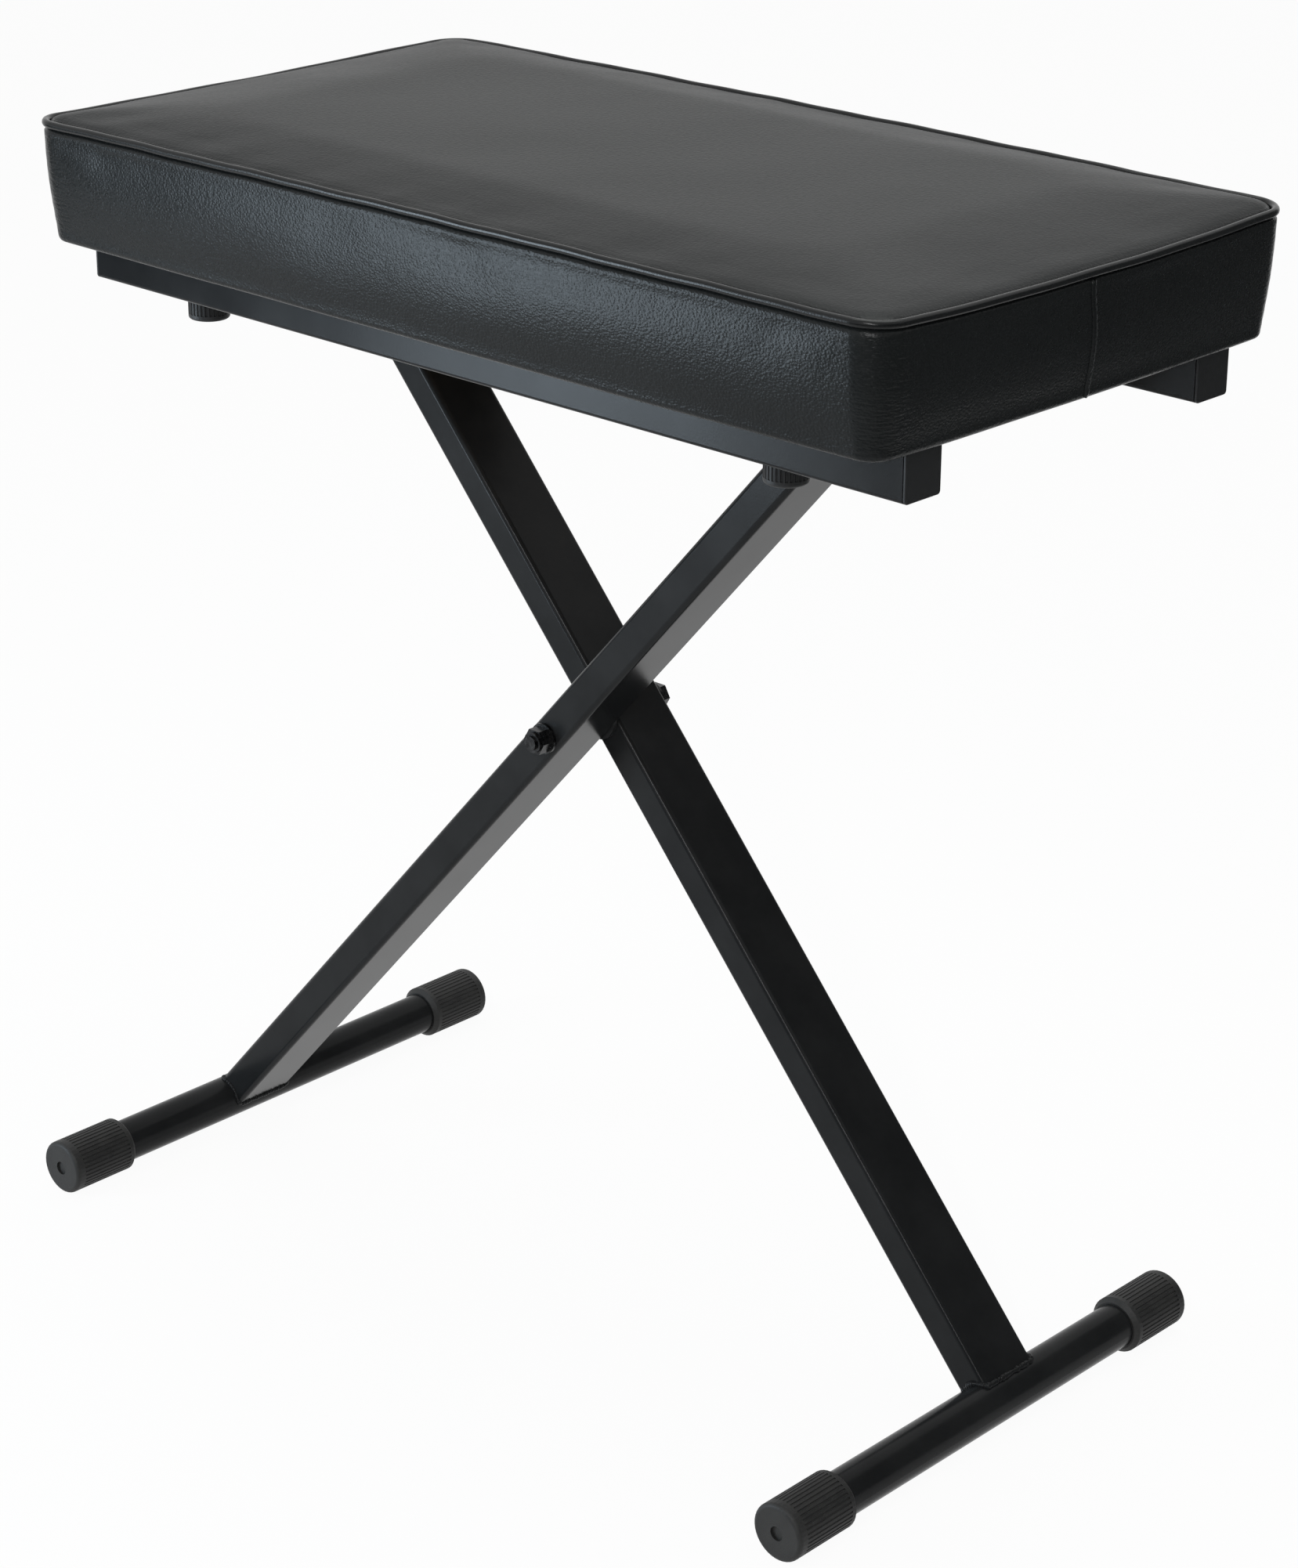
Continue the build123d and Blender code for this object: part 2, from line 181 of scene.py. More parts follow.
def path_tree(name, sizes):
    made = bpy.data.node_groups.new(name, "GeometryNodeTree")
    made.interface.new_socket("Geometry", in_out="INPUT", socket_type="NodeSocketGeometry")
    for size_name, kind in sizes.items():
        made.interface.new_socket(size_name, in_out="INPUT", socket_type=kind)
    made.interface.new_socket("Finish", in_out="INPUT", socket_type="NodeSocketMaterial")
    made.interface.new_socket("Geometry", in_out="OUTPUT", socket_type="NodeSocketGeometry")
    start = made.nodes.new("NodeGroupInput")
    curve = made.nodes.new("GeometryNodeMeshToCurve")
    made.links.new(start.outputs["Geometry"], curve.inputs["Mesh"])
    return made, start, curve.outputs["Curve"]


def set_along(made, curve, step, shape):
    points = made.nodes.new("GeometryNodeResampleCurve")
    points.mode = "LENGTH"
    place = made.nodes.new("GeometryNodeInstanceOnPoints")
    made.links.new(curve, points.inputs["Curve"])
    made.links.new(step, points.inputs["Length"])
    made.links.new(points.outputs["Curve"], place.inputs["Points"])
    made.links.new(shape, place.inputs["Instance"])
    return place


def smoothed(made, shape):
    smooth = made.nodes.new("GeometryNodeSetShadeSmooth")
    made.links.new(shape, smooth.inputs["Geometry"])
    return smooth.outputs["Geometry"]


def close_tree(made, start, shape):
    real = made.nodes.new("GeometryNodeRealizeInstances")
    paint = made.nodes.new("GeometryNodeSetMaterial")
    end = made.nodes.new("NodeGroupOutput")
    made.links.new(shape, real.inputs["Geometry"])
    made.links.new(real.outputs["Geometry"], paint.inputs["Geometry"])
    made.links.new(start.outputs["Finish"], paint.inputs["Material"])
    made.links.new(paint.outputs["Geometry"], end.inputs["Geometry"])
    return made


def bead_tree():
    sizes = {"Ripple Radius": "NodeSocketFloat", "Ripple Step": "NodeSocketFloat"}
    made, start, curve = path_tree("weld_bead", sizes)
    ripple = made.nodes.new("GeometryNodeMeshIcoSphere")
    ripple.inputs["Subdivisions"].default_value = 2
    made.links.new(start.outputs["Ripple Radius"], ripple.inputs["Radius"])
    place = set_along(made, curve, start.outputs["Ripple Step"], smoothed(made, ripple.outputs["Mesh"]))
    size = made.nodes.new("FunctionNodeRandomValue")
    size.inputs[2].default_value = ripple_least
    size.inputs[3].default_value = ripple_most
    size.inputs["Seed"].default_value = ripple_seed
    made.links.new(size.outputs[1], place.inputs["Scale"])
    return close_tree(made, start, place.outputs["Instances"])


def grow(piece, group, values):
    modifier = piece.modifiers.new(group.name, "NODES")
    modifier.node_group = group
    for socket in group.interface.items_tree:
        if socket.name in values:
            modifier[socket.identifier] = values[socket.name]
    settle(piece)


weld_group = bead_tree()
leg_section = rounded_ring(
    leg_half_depth, leg_half_width, leg_corner, leg_corner_points, leg_depth_parts, leg_width_parts
)
for leg, body, bead_r in (("rear", "rear_leg", rear_bead_r), ("front", "front_leg", front_bead_r)):
    bead_step = bead_r * bead_pitch
    foot_low, foot_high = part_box(leg + "_foot_tube")
    cross_low, cross_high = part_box(leg + "_cross_tube")
    leg_low, leg_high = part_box(leg + "_leg")
    foot_at = (foot_low + foot_high) / 2
    cross_at = (cross_low + cross_high) / 2
    leg_middle = (leg_low.y + leg_high.y) / 2
    along = (cross_at - foot_at).normalized()
    aside = Vector((along.z, 0, -along.x))
    foot_r, cross_r = (foot_high.z - foot_low.z) / 2, (cross_high.z - cross_low.z) / 2
    weld_lines = []
    for centre, away, tube_r in ((foot_at, 1, foot_r), (cross_at, -1, cross_r)):
        weld_line = []
        for u, v in leg_section:
            rise = math.sqrt(max(tube_r**2 - u**2, 0.0)) + bead_r * bead_lift
            weld_line.append(Vector((centre.x, leg_middle + v, centre.z)) + aside * u + along * rise * away)
        weld_lines.append(weld_line)
    bead = add_piece(f"weld_{leg}_leg", path_mesh(f"weld_{leg}_leg", weld_lines))
    grow(bead, weld_group, {"Ripple Radius": bead_r, "Ripple Step": bead_step, "Finish": powder_coat})
    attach(bead, body)

# Rail end plugs: moulded black plastic, pressed into the square rails.
# A fine moulded texture, a touch greyer and duller than the paint beside it.
plug_plastic, tree, shader = new_finish("plug_plastic", (0.011, 0.0115, 0.012), roughness=0.45, specular=0.3)
grain = object_pattern(tree, "ShaderNodeTexNoise", scale=1600.0, detail=2.0)
patchy_gloss(tree, shader, grain, low=0.4, high=0.52)
relief(tree, shader, grain.outputs["Fac"], strength=0.18, depth=0.0003)
dress(plug_plastic, "plug_front_left", "plug_front_right", "plug_rear_left", "plug_rear_right")

# Pivot bolt, locking nut and washers, in steel with a black oxide finish.
# The bolt comes through from the rear and the nut closes on the front leg's face.
black_oxide, tree, shader = new_finish("black_oxide", (0.02, 0.02, 0.021), roughness=0.26)
shader.inputs["Metallic"].default_value = 0.85
rubbed = object_pattern(tree, "ShaderNodeTexNoise", scale=420.0, detail=3.0)
patchy_colour(tree, shader, rubbed, dark=(0.012, 0.012, 0.013), light=(0.04, 0.04, 0.04))
patchy_gloss(tree, shader, rubbed, low=0.2, high=0.34)
dress(black_oxide, "pivot_bolt", "pivot_nut", "front_washer", "rear_washer")

# Zinc-plated steel inside the legs and under the seat: sleeves, clamp nuts, studs, rail bolts, inserts.
# Bright plate with a slightly cloudy passivated film. The studs carry a rolled thread.
zinc_plate, tree, shader = new_finish("zinc_plate", (0.55, 0.54, 0.5), roughness=0.32)
shader.inputs["Metallic"].default_value = 1.0
cloud = object_pattern(tree, "ShaderNodeTexNoise", scale=160.0, detail=4.0)
patchy_colour(tree, shader, cloud, dark=(0.42, 0.41, 0.38), light=(0.62, 0.61, 0.57))
patchy_gloss(tree, shader, cloud, low=0.24, high=0.42)
dress(zinc_plate, "front_sleeve", "rear_sleeve", "hinge_nut_front", "hinge_nut_rear")
dress(zinc_plate, "shoe_nut_front", "shoe_nut_rear", "rail_bolts", "board_inserts")
zinc_thread = zinc_plate.copy()
zinc_thread.name = "zinc_thread"
tree = zinc_thread.node_tree
thread = object_pattern(tree, "ShaderNodeTexWave", scale=250.0)
thread.bands_direction = "Z"
relief(tree, tree.nodes["Principled BSDF"], thread.outputs["Fac"], strength=0.8, depth=0.0006)
dress(zinc_thread, "stud_hinge_front", "stud_hinge_rear", "stud_shoe_front", "stud_shoe_rear")

# Hinge blocks, slide shoes and the washer between the legs, moulded in black nylon.
# A satin skin with faint flow marks. The blocks hold the cross tubes and the shoes run in the tracks.
nylon, tree, shader = new_finish("nylon", (0.014, 0.0145, 0.015), roughness=0.42, specular=0.35)
flow = object_pattern(tree, "ShaderNodeTexNoise", scale=60.0, detail=3.0, stretch=(1, 1, 4))
patchy_gloss(tree, shader, flow, low=0.36, high=0.5)
relief(tree, shader, flow.outputs["Fac"], strength=0.06, depth=0.0006)
dress(nylon, "hinge_block_front", "hinge_block_rear", "slide_shoe_front", "slide_shoe_rear", "leg_spacer")

# Hand screw knobs: ribbed black plastic moulded on the studs.
# A dull spark-eroded texture that catches a little light on the ribs.
knob_plastic, tree, shader = new_finish("knob_plastic", (0.012, 0.0125, 0.013), roughness=0.48, specular=0.35)
spark = object_pattern(tree, "ShaderNodeTexNoise", scale=2200.0, detail=2.0)
patchy_gloss(tree, shader, spark, low=0.42, high=0.56)
relief(tree, shader, spark.outputs["Fac"], strength=0.2, depth=0.0003)
dress(knob_plastic, "knob_hinge_front", "knob_hinge_rear", "knob_shoe_front", "knob_shoe_rear")

# Foot caps: black rubber pushed over the ends of the foot tubes, ribbed lengthwise for grip.
# Matt, with a pale bloom in patches.
rubber, tree, shader = new_finish("rubber", (0.012, 0.012, 0.012), roughness=0.6, specular=0.35)
bloom = object_pattern(tree, "ShaderNodeTexNoise", scale=120.0, detail=5.0)
pores = object_pattern(tree, "ShaderNodeTexNoise", scale=1500.0, detail=2.0)
patchy_colour(tree, shader, bloom, dark=(0.010, 0.010, 0.010), light=(0.019, 0.019, 0.018))
patchy_gloss(tree, shader, bloom, low=0.5, high=0.66)
relief(tree, shader, pores.outputs["Fac"], strength=0.22, depth=0.0004)
dress(rubber, "cap_front_foot_front", "cap_front_foot_rear", "cap_rear_foot_front", "cap_rear_foot_rear")

# Seat board: birch plywood, sawn, its face grain running along the seat.
# It carries the foam and takes the rail bolts in flanged inserts.
plywood, tree, shader = new_finish("plywood", (0.5, 0.36, 0.22), roughness=0.6)
figure = object_pattern(tree, "ShaderNodeTexNoise", scale=9.0, detail=6.0, stretch=(1, 14, 14))
figure.inputs["Distortion"].default_value = 0.6
patchy_colour(tree, shader, figure, dark=(0.40, 0.27, 0.15), light=(0.58, 0.43, 0.28))
patchy_gloss(tree, shader, figure, low=0.5, high=0.68)
relief(tree, shader, figure.outputs["Fac"], strength=0.15, depth=0.0005)
dress(plywood, "seat_board")

# Seat cushion: foam on the board under a sewn cover of black leatherette.
# A top panel and a boxed side band meet at the piping, and the cover is drawn in under the board's edge.
# The foam fills the cover, so the top is crowned and the sides round out between the seams.
cord_low, cord_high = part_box("seat_piping")
pad_low, pad_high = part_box("seat_cushion")
board_low, board_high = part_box("seat_board")
seat_middle = (cord_low.x + cord_high.x) / 2
cord_r = (cord_high.z - cord_low.z) / 2
seam_height = (cord_low.z + cord_high.z) / 2
pad_bottom, band_height = pad_low.z, seam_height - pad_low.z
plan_corner, least_corner, largest_corner = 0.019, 0.007, 0.9
end_bow, side_bow, bow_reach = 0.003, 0.0015, 0.9
plan_a = (cord_high.x - cord_low.x) / 2 - end_bow
plan_b = cord_high.y - side_bow
corner_points, side_parts, end_parts = 14, 150, 76
end_sag, side_sag, end_sag_from, side_sag_from = 0.0022, -0.0012, 0.75, 0.6
seam_wobbles = ((0.00014, 61, 47), (0.0001, 143, -97))
foam_cell, swell_frames, swell_limit = 0.005, 20, 0.0036
seam_inset, held_rim, held_seam = 0.004, 0.006, 0.0055


def bowed(ring):
    x, y = ring[:, 0], ring[:, 1]
    out_x = np.clip(x / (plan_a * bow_reach), -1, 1) * end_bow * np.clip(1 - (y / plan_b) ** 2, 0, 1)
    out_y = np.clip(y / (plan_b * bow_reach), -1, 1) * side_bow * np.clip(1 - (x / plan_a) ** 2, 0, 1)
    return np.c_[x + out_x, y + out_y]


def plan_ring(inset, per_corner=corner_points, per_a=side_parts, per_b=end_parts):
    half_a, half_b = plan_a - inset, plan_b - inset
    corner = min(max(plan_corner - inset, least_corner), half_b * largest_corner)
    return bowed(rounded_ring(half_a, half_b, corner, per_corner, per_a, per_b))


def seam_dip(x, y):
    toward_end = np.clip((np.abs(x) / plan_a - end_sag_from) / (1 - end_sag_from), 0, 1)
    toward_side = np.clip((np.abs(y) / plan_b - side_sag_from) / (1 - side_sag_from), 0, 1)
    dip = end_sag * toward_end * np.clip(1 - (y / plan_b) ** 2, 0, 1)
    dip = dip + side_sag * toward_side * np.clip(1 - (x / plan_a) ** 2, 0, 1)
    for depth, pitch_x, pitch_y in seam_wobbles:
        dip = dip + depth * np.sin(x * pitch_x + y * pitch_y)
    return dip


def ring_mesh(name, rings):
    count = len(rings[0])
    top = (len(rings) - 1) * count
    faces = [tuple(reversed(range(count)))]
    for ring in range(len(rings) - 1):
        first, second = ring * count, (ring + 1) * count
        for k in range(count):
            after = (k + 1) % count
            faces.append((first + k, first + after, second + after, second + k))
    across = count - end_parts
    last = 2 * corner_points + side_parts - 2
    bend = corner_points - 1
    for k in range(bend, last - bend):
        faces.append((top + k, top + k + 1, top + across - k - 1, top + across - k))
    faces.append(tuple(top + k % count for k in range(across - bend, count + bend + 1)))
    faces.append(tuple(top + k for k in range(last - bend, across - last + bend + 1)))
    mesh = bpy.data.meshes.new(name)
    mesh.from_pydata(np.vstack(rings).tolist(), [], faces)
    return mesh


def level_rings(levels, **counts):
    rings = []
    for inset, height, share in levels:
        ring = plan_ring(inset, **counts)
        dip = seam_dip(ring[:, 0], ring[:, 1]) * share
        rings.append(np.c_[ring[:, 0] + seat_middle, ring[:, 1], height - dip])
    return rings


def coordinates(mesh):
    spots = np.empty(len(mesh.vertices) * 3)
    mesh.vertices.foreach_get("co", spots)
    return spots.reshape(-1, 3)


def nearest(spots):
    found = KDTree(len(spots))
    for index, spot in enumerate(spots):
        found.insert(spot, index)
    found.balance()
    return found


# Each level is an inset from the seat's outline, a height, and the share of the seam's dip that it takes.
side_levels = [
    (0.0092, pad_bottom, 0.0),
    (0.0070, pad_bottom + 0.0006, 0.0),
    (0.0057, pad_bottom + 0.0024, 0.05),
    (0.0052, pad_bottom + 0.0066, 0.1),
    (0.0034, pad_bottom + band_height * 0.32, 0.3),
    (0.0020, pad_bottom + band_height * 0.52, 0.55),
    (0.0012, pad_bottom + band_height * 0.74, 0.8),
    (0.0010, seam_height - 0.0062, 1.0),
]
welt_levels = [
    (0.0010, seam_height - 0.0042, 1.0),
    (0.0020, seam_height - 0.0030, 1.0),
    (0.0040, seam_height - 0.0016, 1.0),
    (0.0046, seam_height + 0.0002, 1.0),
    (0.0052, seam_height + 0.0010, 1.0),
]
top_levels = [
    (0.0064, seam_height + 0.0018, 1.0),
    (0.0088, seam_height + 0.0029, 1.0),
    (0.0125, seam_height + 0.0040, 1.0),
    (0.0185, seam_height + 0.0049, 0.9),
    (0.0290, seam_height + 0.0055, 0.7),
    (0.0480, seam_height + 0.0060, 0.4),
    (0.0800, seam_height + 0.0063, 0.2),
    (0.1150, seam_height + 0.0064, 0.0),
    (0.1400, seam_height + 0.0065, 0.0),
]
foam = add_piece("foam", ring_mesh("foam", level_rings(side_levels + welt_levels[2:3] + top_levels)))
remesh = foam.modifiers.new("even", "REMESH")
remesh.mode = "VOXEL"
remesh.voxel_size = foam_cell
settle(foam)
resting = coordinates(foam.data)
swell = np.zeros_like(resting)
held = foam.vertex_groups.new(name="held")
seam_ring = nearest(level_rings([(seam_inset, seam_height, 1.0)])[0])
for index, spot in enumerate(resting):
    if spot[2] < pad_bottom + held_rim or seam_ring.find(spot)[2] < held_seam:
        held.add([index], 1.0, "REPLACE")
cloth = foam.modifiers.new("fill", "CLOTH")
cloth.settings.quality = 6
cloth.settings.mass = 0.3
cloth.settings.tension_stiffness = 18
cloth.settings.compression_stiffness = 18
cloth.settings.shear_stiffness = 6
cloth.settings.bending_stiffness = 1.2
cloth.settings.use_pressure = True
cloth.settings.uniform_pressure_force = 4
cloth.settings.vertex_group_mass = "held"
cloth.settings.effector_weights.gravity = 0
cloth.collision_settings.use_collision = False
for moment in range(1, swell_frames + 1):
    bpy.context.scene.frame_set(moment)
settle(foam)
bpy.context.scene.frame_set(1)
swell = coordinates(foam.data) - resting
length = np.linalg.norm(swell, axis=1, keepdims=True)
swell *= np.minimum(1, swell_limit / np.maximum(length, 1e-9))
filled = nearest(resting)

# The sewn cover takes the swell of the foam, ring by ring, with the seam left where it is sewn.
# Short creases gather at the corners of the side band, and the whole cover is a little uneven.
board_gap, board_corner, level_parts = 0.0003, 0.022, 4
swell_neighbours, swell_softness = 10, 0.001
uneven_depth, uneven_pitch, uneven_pitch_z = 0.0007, 13, 24
even_levels, uneven_top_levels = 2, 10
gather_reach, gather_fade = 0.032, 0.02
gather_least, gather_fall, gather_start = 0.35, 2.2, 12
crease_depth, crease_pitch, crease_drift = 0.0001, 900, 5
crease_sway, sway_pitch_x, sway_pitch_y = 4, 90, 80
panel_dullness = 0.16


def eased(levels, parts):
    table = np.array(levels)
    fine = []
    for k in range(len(table) - 1):
        before, first = table[max(k - 1, 0)], table[k]
        second, after = table[k + 1], table[min(k + 2, len(table) - 1)]
        for part in range(parts):
            t = part / parts
            bend = (second - before) * t + (2 * before - 5 * first + 4 * second - after) * t**2
            fine.append(first + 0.5 * (bend + (3 * first - before - 3 * second + after) * t**3))
    fine.append(table[-1])
    return fine


board_half = (board_high.x - board_low.x) / 2
tuck = rounded_ring(
    board_half + board_gap, board_high.y + board_gap, board_corner, corner_points, side_parts, end_parts
)
tuck_rings = [
    np.c_[tuck[:, 0] + seat_middle, tuck[:, 1], np.full(len(tuck), height)]
    for height in (board_high.z + board_gap, pad_bottom)
]
band_levels = eased(side_levels, level_parts)
cover_rings = level_rings(band_levels + welt_levels + eased(top_levels, level_parts))
spots = np.vstack(cover_rings)
given = np.zeros_like(spots)
for index, spot in enumerate(spots):
    near = filled.find_n(spot, swell_neighbours)
    weight = np.array([1 / (found[2] + swell_softness) for found in near])
    given[index] = (swell[[found[1] for found in near]] * weight[:, None]).sum(0) / weight.sum()
x, y, z = spots[:, 0] - seat_middle, spots[:, 1], spots[:, 2]
ring_size = len(cover_rings[0])
level_of = np.repeat(np.arange(len(cover_rings)), ring_size)
band_count = len(band_levels)
top_first = band_count + len(welt_levels)
sewn = (level_of >= band_count - 1) & (level_of < top_first)
given[sewn] = 0
outline = plan_ring(0.0)
ahead = np.roll(outline, -1, axis=0) - np.roll(outline, 1, axis=0)
outward = np.c_[ahead[:, 1], -ahead[:, 0]] / np.linalg.norm(ahead, axis=1, keepdims=True)
outward = np.tile(outward, (len(cover_rings), 1))
uneven_at = spots * (uneven_pitch, uneven_pitch, uneven_pitch_z)
uneven = np.array([noise(spot) for spot in uneven_at.tolist()])
on_side = (level_of > even_levels) & (level_of < band_count - 1)
on_top = level_of >= top_first + 1
past_edge = np.minimum(np.abs(x) - plan_a, np.abs(y) - plan_b)
near_corner = np.clip((past_edge + gather_reach) / gather_fade, 0, 1)
rise = (z - pad_bottom) / band_height
sway = crease_sway * np.sin(x * sway_pitch_x) * np.sin(y * sway_pitch_y)
crease = np.sin(z * crease_pitch + crease_drift * uneven + sway)
gather = near_corner * (gather_least + (1 - gather_least) * np.clip(1 - gather_fall * rise, 0, 1))
gather = gather * np.clip(rise * gather_start, 0, 1)
push = on_side * (uneven_depth * uneven + crease_depth * gather * crease)
spots = spots + given
spots[:, 0] += outward[:, 0] * push
spots[:, 1] += outward[:, 1] * push
spots[:, 2] += on_top * uneven_depth * uneven * np.clip((level_of - top_first) / uneven_top_levels, 0, 1)
spots[:, 2] = np.maximum(spots[:, 2], pad_bottom)
cover_mesh = ring_mesh("seat_cover", tuck_rings + list(spots.reshape(len(cover_rings), ring_size, 3)))
cover = add_piece("seat_cover", cover_mesh)
bpy.data.objects.remove(foam)
cover.data.shade_smooth()
for share_name, share in (("gather", near_corner * (level_of < band_count)), ("panel", on_top * 1.0)):
    stored = cover.data.attributes.new(share_name, "FLOAT", "POINT")
    stored.data.foreach_set("value", np.r_[np.zeros(len(tuck_rings) * ring_size), share])


def stored_share(tree, name):
    share = tree.nodes.new("ShaderNodeAttribute")
    share.attribute_name = name
    return share.outputs["Fac"]


leatherette, tree, shader = new_finish("leatherette", (0.009, 0.010, 0.0102), roughness=0.28, specular=0.12)
pebble = object_pattern(tree, "ShaderNodeTexVoronoi", scale=880.0, detail=0.0, stretch=(0.75, 0.75, 1))
pebble.feature = "SMOOTH_F1"
pebble.inputs["Smoothness"].default_value = 0.5
wander = object_pattern(tree, "ShaderNodeTexNoise", scale=420.0, detail=3.0)
fine = object_pattern(tree, "ShaderNodeTexNoise", scale=2600.0, detail=2.0)
worn = object_pattern(tree, "ShaderNodeTexNoise", scale=7.0, detail=4.0)
drawn = object_pattern(tree, "ShaderNodeTexNoise", scale=130.0, detail=2.0, stretch=(1, 1, 6))
pull = tree.nodes.new("ShaderNodeMath")
pull.operation = "MULTIPLY"
tree.links.new(drawn.outputs["Fac"], pull.inputs[0])
tree.links.new(stored_share(tree, "gather"), pull.inputs[1])
patchy_colour(tree, shader, worn, dark=(0.0075, 0.0084, 0.0086), light=(0.0105, 0.0117, 0.0118))
duller = tree.nodes.new("ShaderNodeMath")
duller.operation = "MULTIPLY_ADD"
duller.inputs[1].default_value = panel_dullness
tree.links.new(stored_share(tree, "panel"), duller.inputs[0])
tree.links.new(spread(tree, wander.outputs["Fac"], low=0.23, high=0.33), duller.inputs[2])
tree.links.new(duller.outputs["Value"], shader.inputs["Roughness"])
cells = spread(tree, pebble.outputs["Distance"], low=1.0, high=0.0, end=0.7)
grain_normal = relief(tree, shader, fine.outputs["Fac"], strength=0.08, depth=0.0003)
grain_normal = relief(tree, shader, wander.outputs["Fac"], strength=0.08, depth=0.0010, under=grain_normal)
grain_normal = relief(tree, shader, pull.outputs["Value"], strength=0.36, depth=0.0012, under=grain_normal)
relief(tree, shader, cells, strength=0.2, depth=0.0005, under=grain_normal)
cover.data.materials.append(leatherette)
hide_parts("seat_cushion")
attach(cover, "seat")

# Piping: a thin welt of the same leatherette over a cord, sewn in between the top panel and the side band.
# It is smoother than the panels and follows every small dip of the seam.
cord_sides = 14


def cord_tree():
    made, start, curve = path_tree("piping_cord", {"Cord Radius": "NodeSocketFloat"})
    ring = made.nodes.new("GeometryNodeCurvePrimitiveCircle")
    ring.inputs["Resolution"].default_value = cord_sides
    tube = made.nodes.new("GeometryNodeCurveToMesh")
    made.links.new(curve, tube.inputs["Curve"])
    made.links.new(start.outputs["Cord Radius"], ring.inputs["Radius"])
    made.links.new(ring.outputs["Curve"], tube.inputs["Profile Curve"])
    return close_tree(made, start, smoothed(made, tube.outputs["Mesh"]))


piping_skin, tree, shader = new_finish("piping_skin", (0.006, 0.0066, 0.0068), roughness=0.22, specular=0.2)
skin = object_pattern(tree, "ShaderNodeTexNoise", scale=900.0, detail=3.0)
patchy_gloss(tree, shader, skin, low=0.18, high=0.28)
relief(tree, shader, skin.outputs["Fac"], strength=0.14, depth=0.0004)
cord_line = level_rings([(cord_r, seam_height, 1.0)], per_corner=24, per_a=220, per_b=110)[0]
piping = add_piece("seat_welt", path_mesh("seat_welt", [cord_line]))
grow(piping, cord_tree(), {"Cord Radius": cord_r, "Finish": piping_skin})
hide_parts("seat_piping")
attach(piping, "seat")

# Boxing seam: the two ends of the side band meet half way along the right end of the seat.
# One end is folded under and lapped over the other, with a row of stitches beside the fold.
lap_low_y, lap_high_y, lap_rows = -0.003, -0.009, 40
lap_foot, lap_head, lap_sink, look_from = 0.0015, 0.0050, 0.0012, 0.05
stitch_in, stitch_lift, stitch_step = 0.0025, 0.0006, 0.0040
stitch_size, stitch_rows = (0.0007, 0.0007, 0.0028), slice(2, -1)
# Each point of the lap's section is a way across it and a lift off the cover.
lap_section = (
    (-0.0003, -0.0006),
    (0.0, 0.0003),
    (0.0004, 0.0008),
    (0.0010, 0.0010),
    (0.0018, 0.0008),
    (0.0026, 0.0005),
    (0.0036, 0.0001),
    (0.0050, -0.0006),
)
cover_shape = BVHTree.FromPolygons(
    [tuple(spot) for spot in coordinates(cover.data)], [tuple(face.vertices) for face in cover.data.polygons]
)


def end_spot(aside, z, lift):
    y = aside + lap_low_y + (lap_high_y - lap_low_y) * (z - pad_bottom) / band_height
    hit, normal = cover_shape.ray_cast(Vector((pad_high.x + look_from, y, z)), Vector((-1, 0, 0)))[:2]
    return hit + normal * lift


def slab_mesh(name, sheets):
    shape = bmesh.new()
    for outer, inner in sheets:
        layers = [[[shape.verts.new(spot) for spot in row] for row in sheet] for sheet in (outer, inner)]
        rows, columns = len(outer), len(outer[0])
        for layer in layers:
            for r in range(rows - 1):
                for c in range(columns - 1):
                    shape.faces.new((layer[r][c], layer[r][c + 1], layer[r + 1][c + 1], layer[r + 1][c]))
        rim = [(0, c) for c in range(columns - 1)] + [(r, columns - 1) for r in range(rows - 1)]
        rim += [(rows - 1, c) for c in range(columns - 1, 0, -1)] + [(r, 0) for r in range(rows - 1, 0, -1)]
        for first, second in zip(rim, rim[1:] + rim[:1]):
            outer_edge = (layers[0][first[0]][first[1]], layers[0][second[0]][second[1]])
            inner_edge = (layers[1][second[0]][second[1]], layers[1][first[0]][first[1]])
            shape.faces.new((*outer_edge, *inner_edge))
    bmesh.ops.recalc_face_normals(shape, faces=shape.faces)
    mesh = bpy.data.meshes.new(name)
    shape.to_mesh(mesh)
    shape.free()
    mesh.shade_smooth()
    return mesh


def row_tree(name, shape_kind):
    made, start, curve = path_tree(name, {"Step": "NodeSocketFloat", "Size": "NodeSocketVector"})
    shape = made.nodes.new(shape_kind)
    if "Radius" in shape.inputs:
        shape.inputs["Radius"].default_value = 0.5
        shape.inputs["Subdivisions"].default_value = 2
    place = set_along(made, curve, start.outputs["Step"], shape.outputs["Mesh"])
    ahead = made.nodes.new("GeometryNodeInputTangent")
    turn = made.nodes.new("FunctionNodeAlignRotationToVector")
    turn.axis = "Z"
    made.links.new(ahead.outputs["Tangent"], turn.inputs["Vector"])
    made.links.new(turn.outputs["Rotation"], place.inputs["Rotation"])
    made.links.new(start.outputs["Size"], place.inputs["Scale"])
    return close_tree(made, start, place.outputs["Instances"])


lap_heights = np.linspace(pad_bottom + lap_foot, seam_height - lap_head, lap_rows)
lap_outer = [[end_spot(aside, height, lift) for aside, lift in lap_section] for height in lap_heights]
lap_inner = [[end_spot(aside, height, -lap_sink) for aside, _ in lap_section] for height in lap_heights]
lap = add_piece("boxing_seam", slab_mesh("boxing_seam", [(lap_outer, lap_inner)]))
lap.data.materials.append(leatherette)
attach(lap, "seat")

